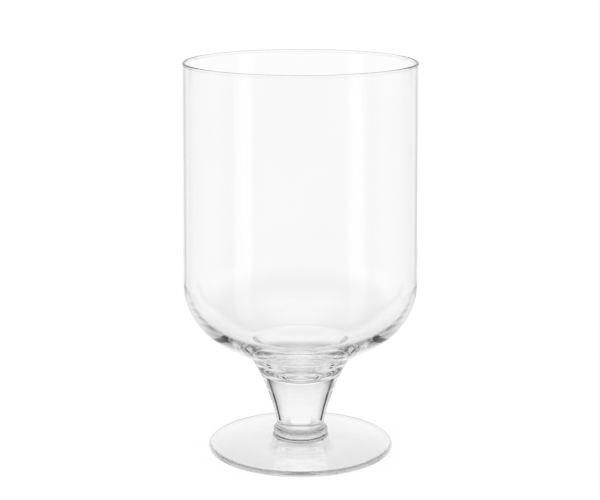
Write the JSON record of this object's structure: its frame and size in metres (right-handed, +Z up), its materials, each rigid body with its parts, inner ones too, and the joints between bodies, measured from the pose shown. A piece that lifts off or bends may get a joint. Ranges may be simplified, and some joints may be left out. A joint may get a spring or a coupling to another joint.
{
  "type": "hurricane glass",
  "caption": "Clear stemmed drinking glass with a straight deep bowl, round bottom, short solid stem, soft collar and low round foot.",
  "frame": {"origin": "on the axis, at the table that the foot's flat ring rests on", "axes": "+Z up along the axis to the rim; the glass is round, so X and Y are alike"},
  "size_m": [0.0914, 0.0914, 0.154],
  "materials": {
    "bowl_glass": "fire polished",
    "stem_glass": "fire polished",
    "collar_glass": "fire polished",
    "foot_glass": "pressed and fire polished"
  },
  "bodies": {
    "root": {"bowl": "bowl_glass", "stem": "stem_glass", "collar": "collar_glass", "foot": "foot_glass"}
  },
  "joints": []
}
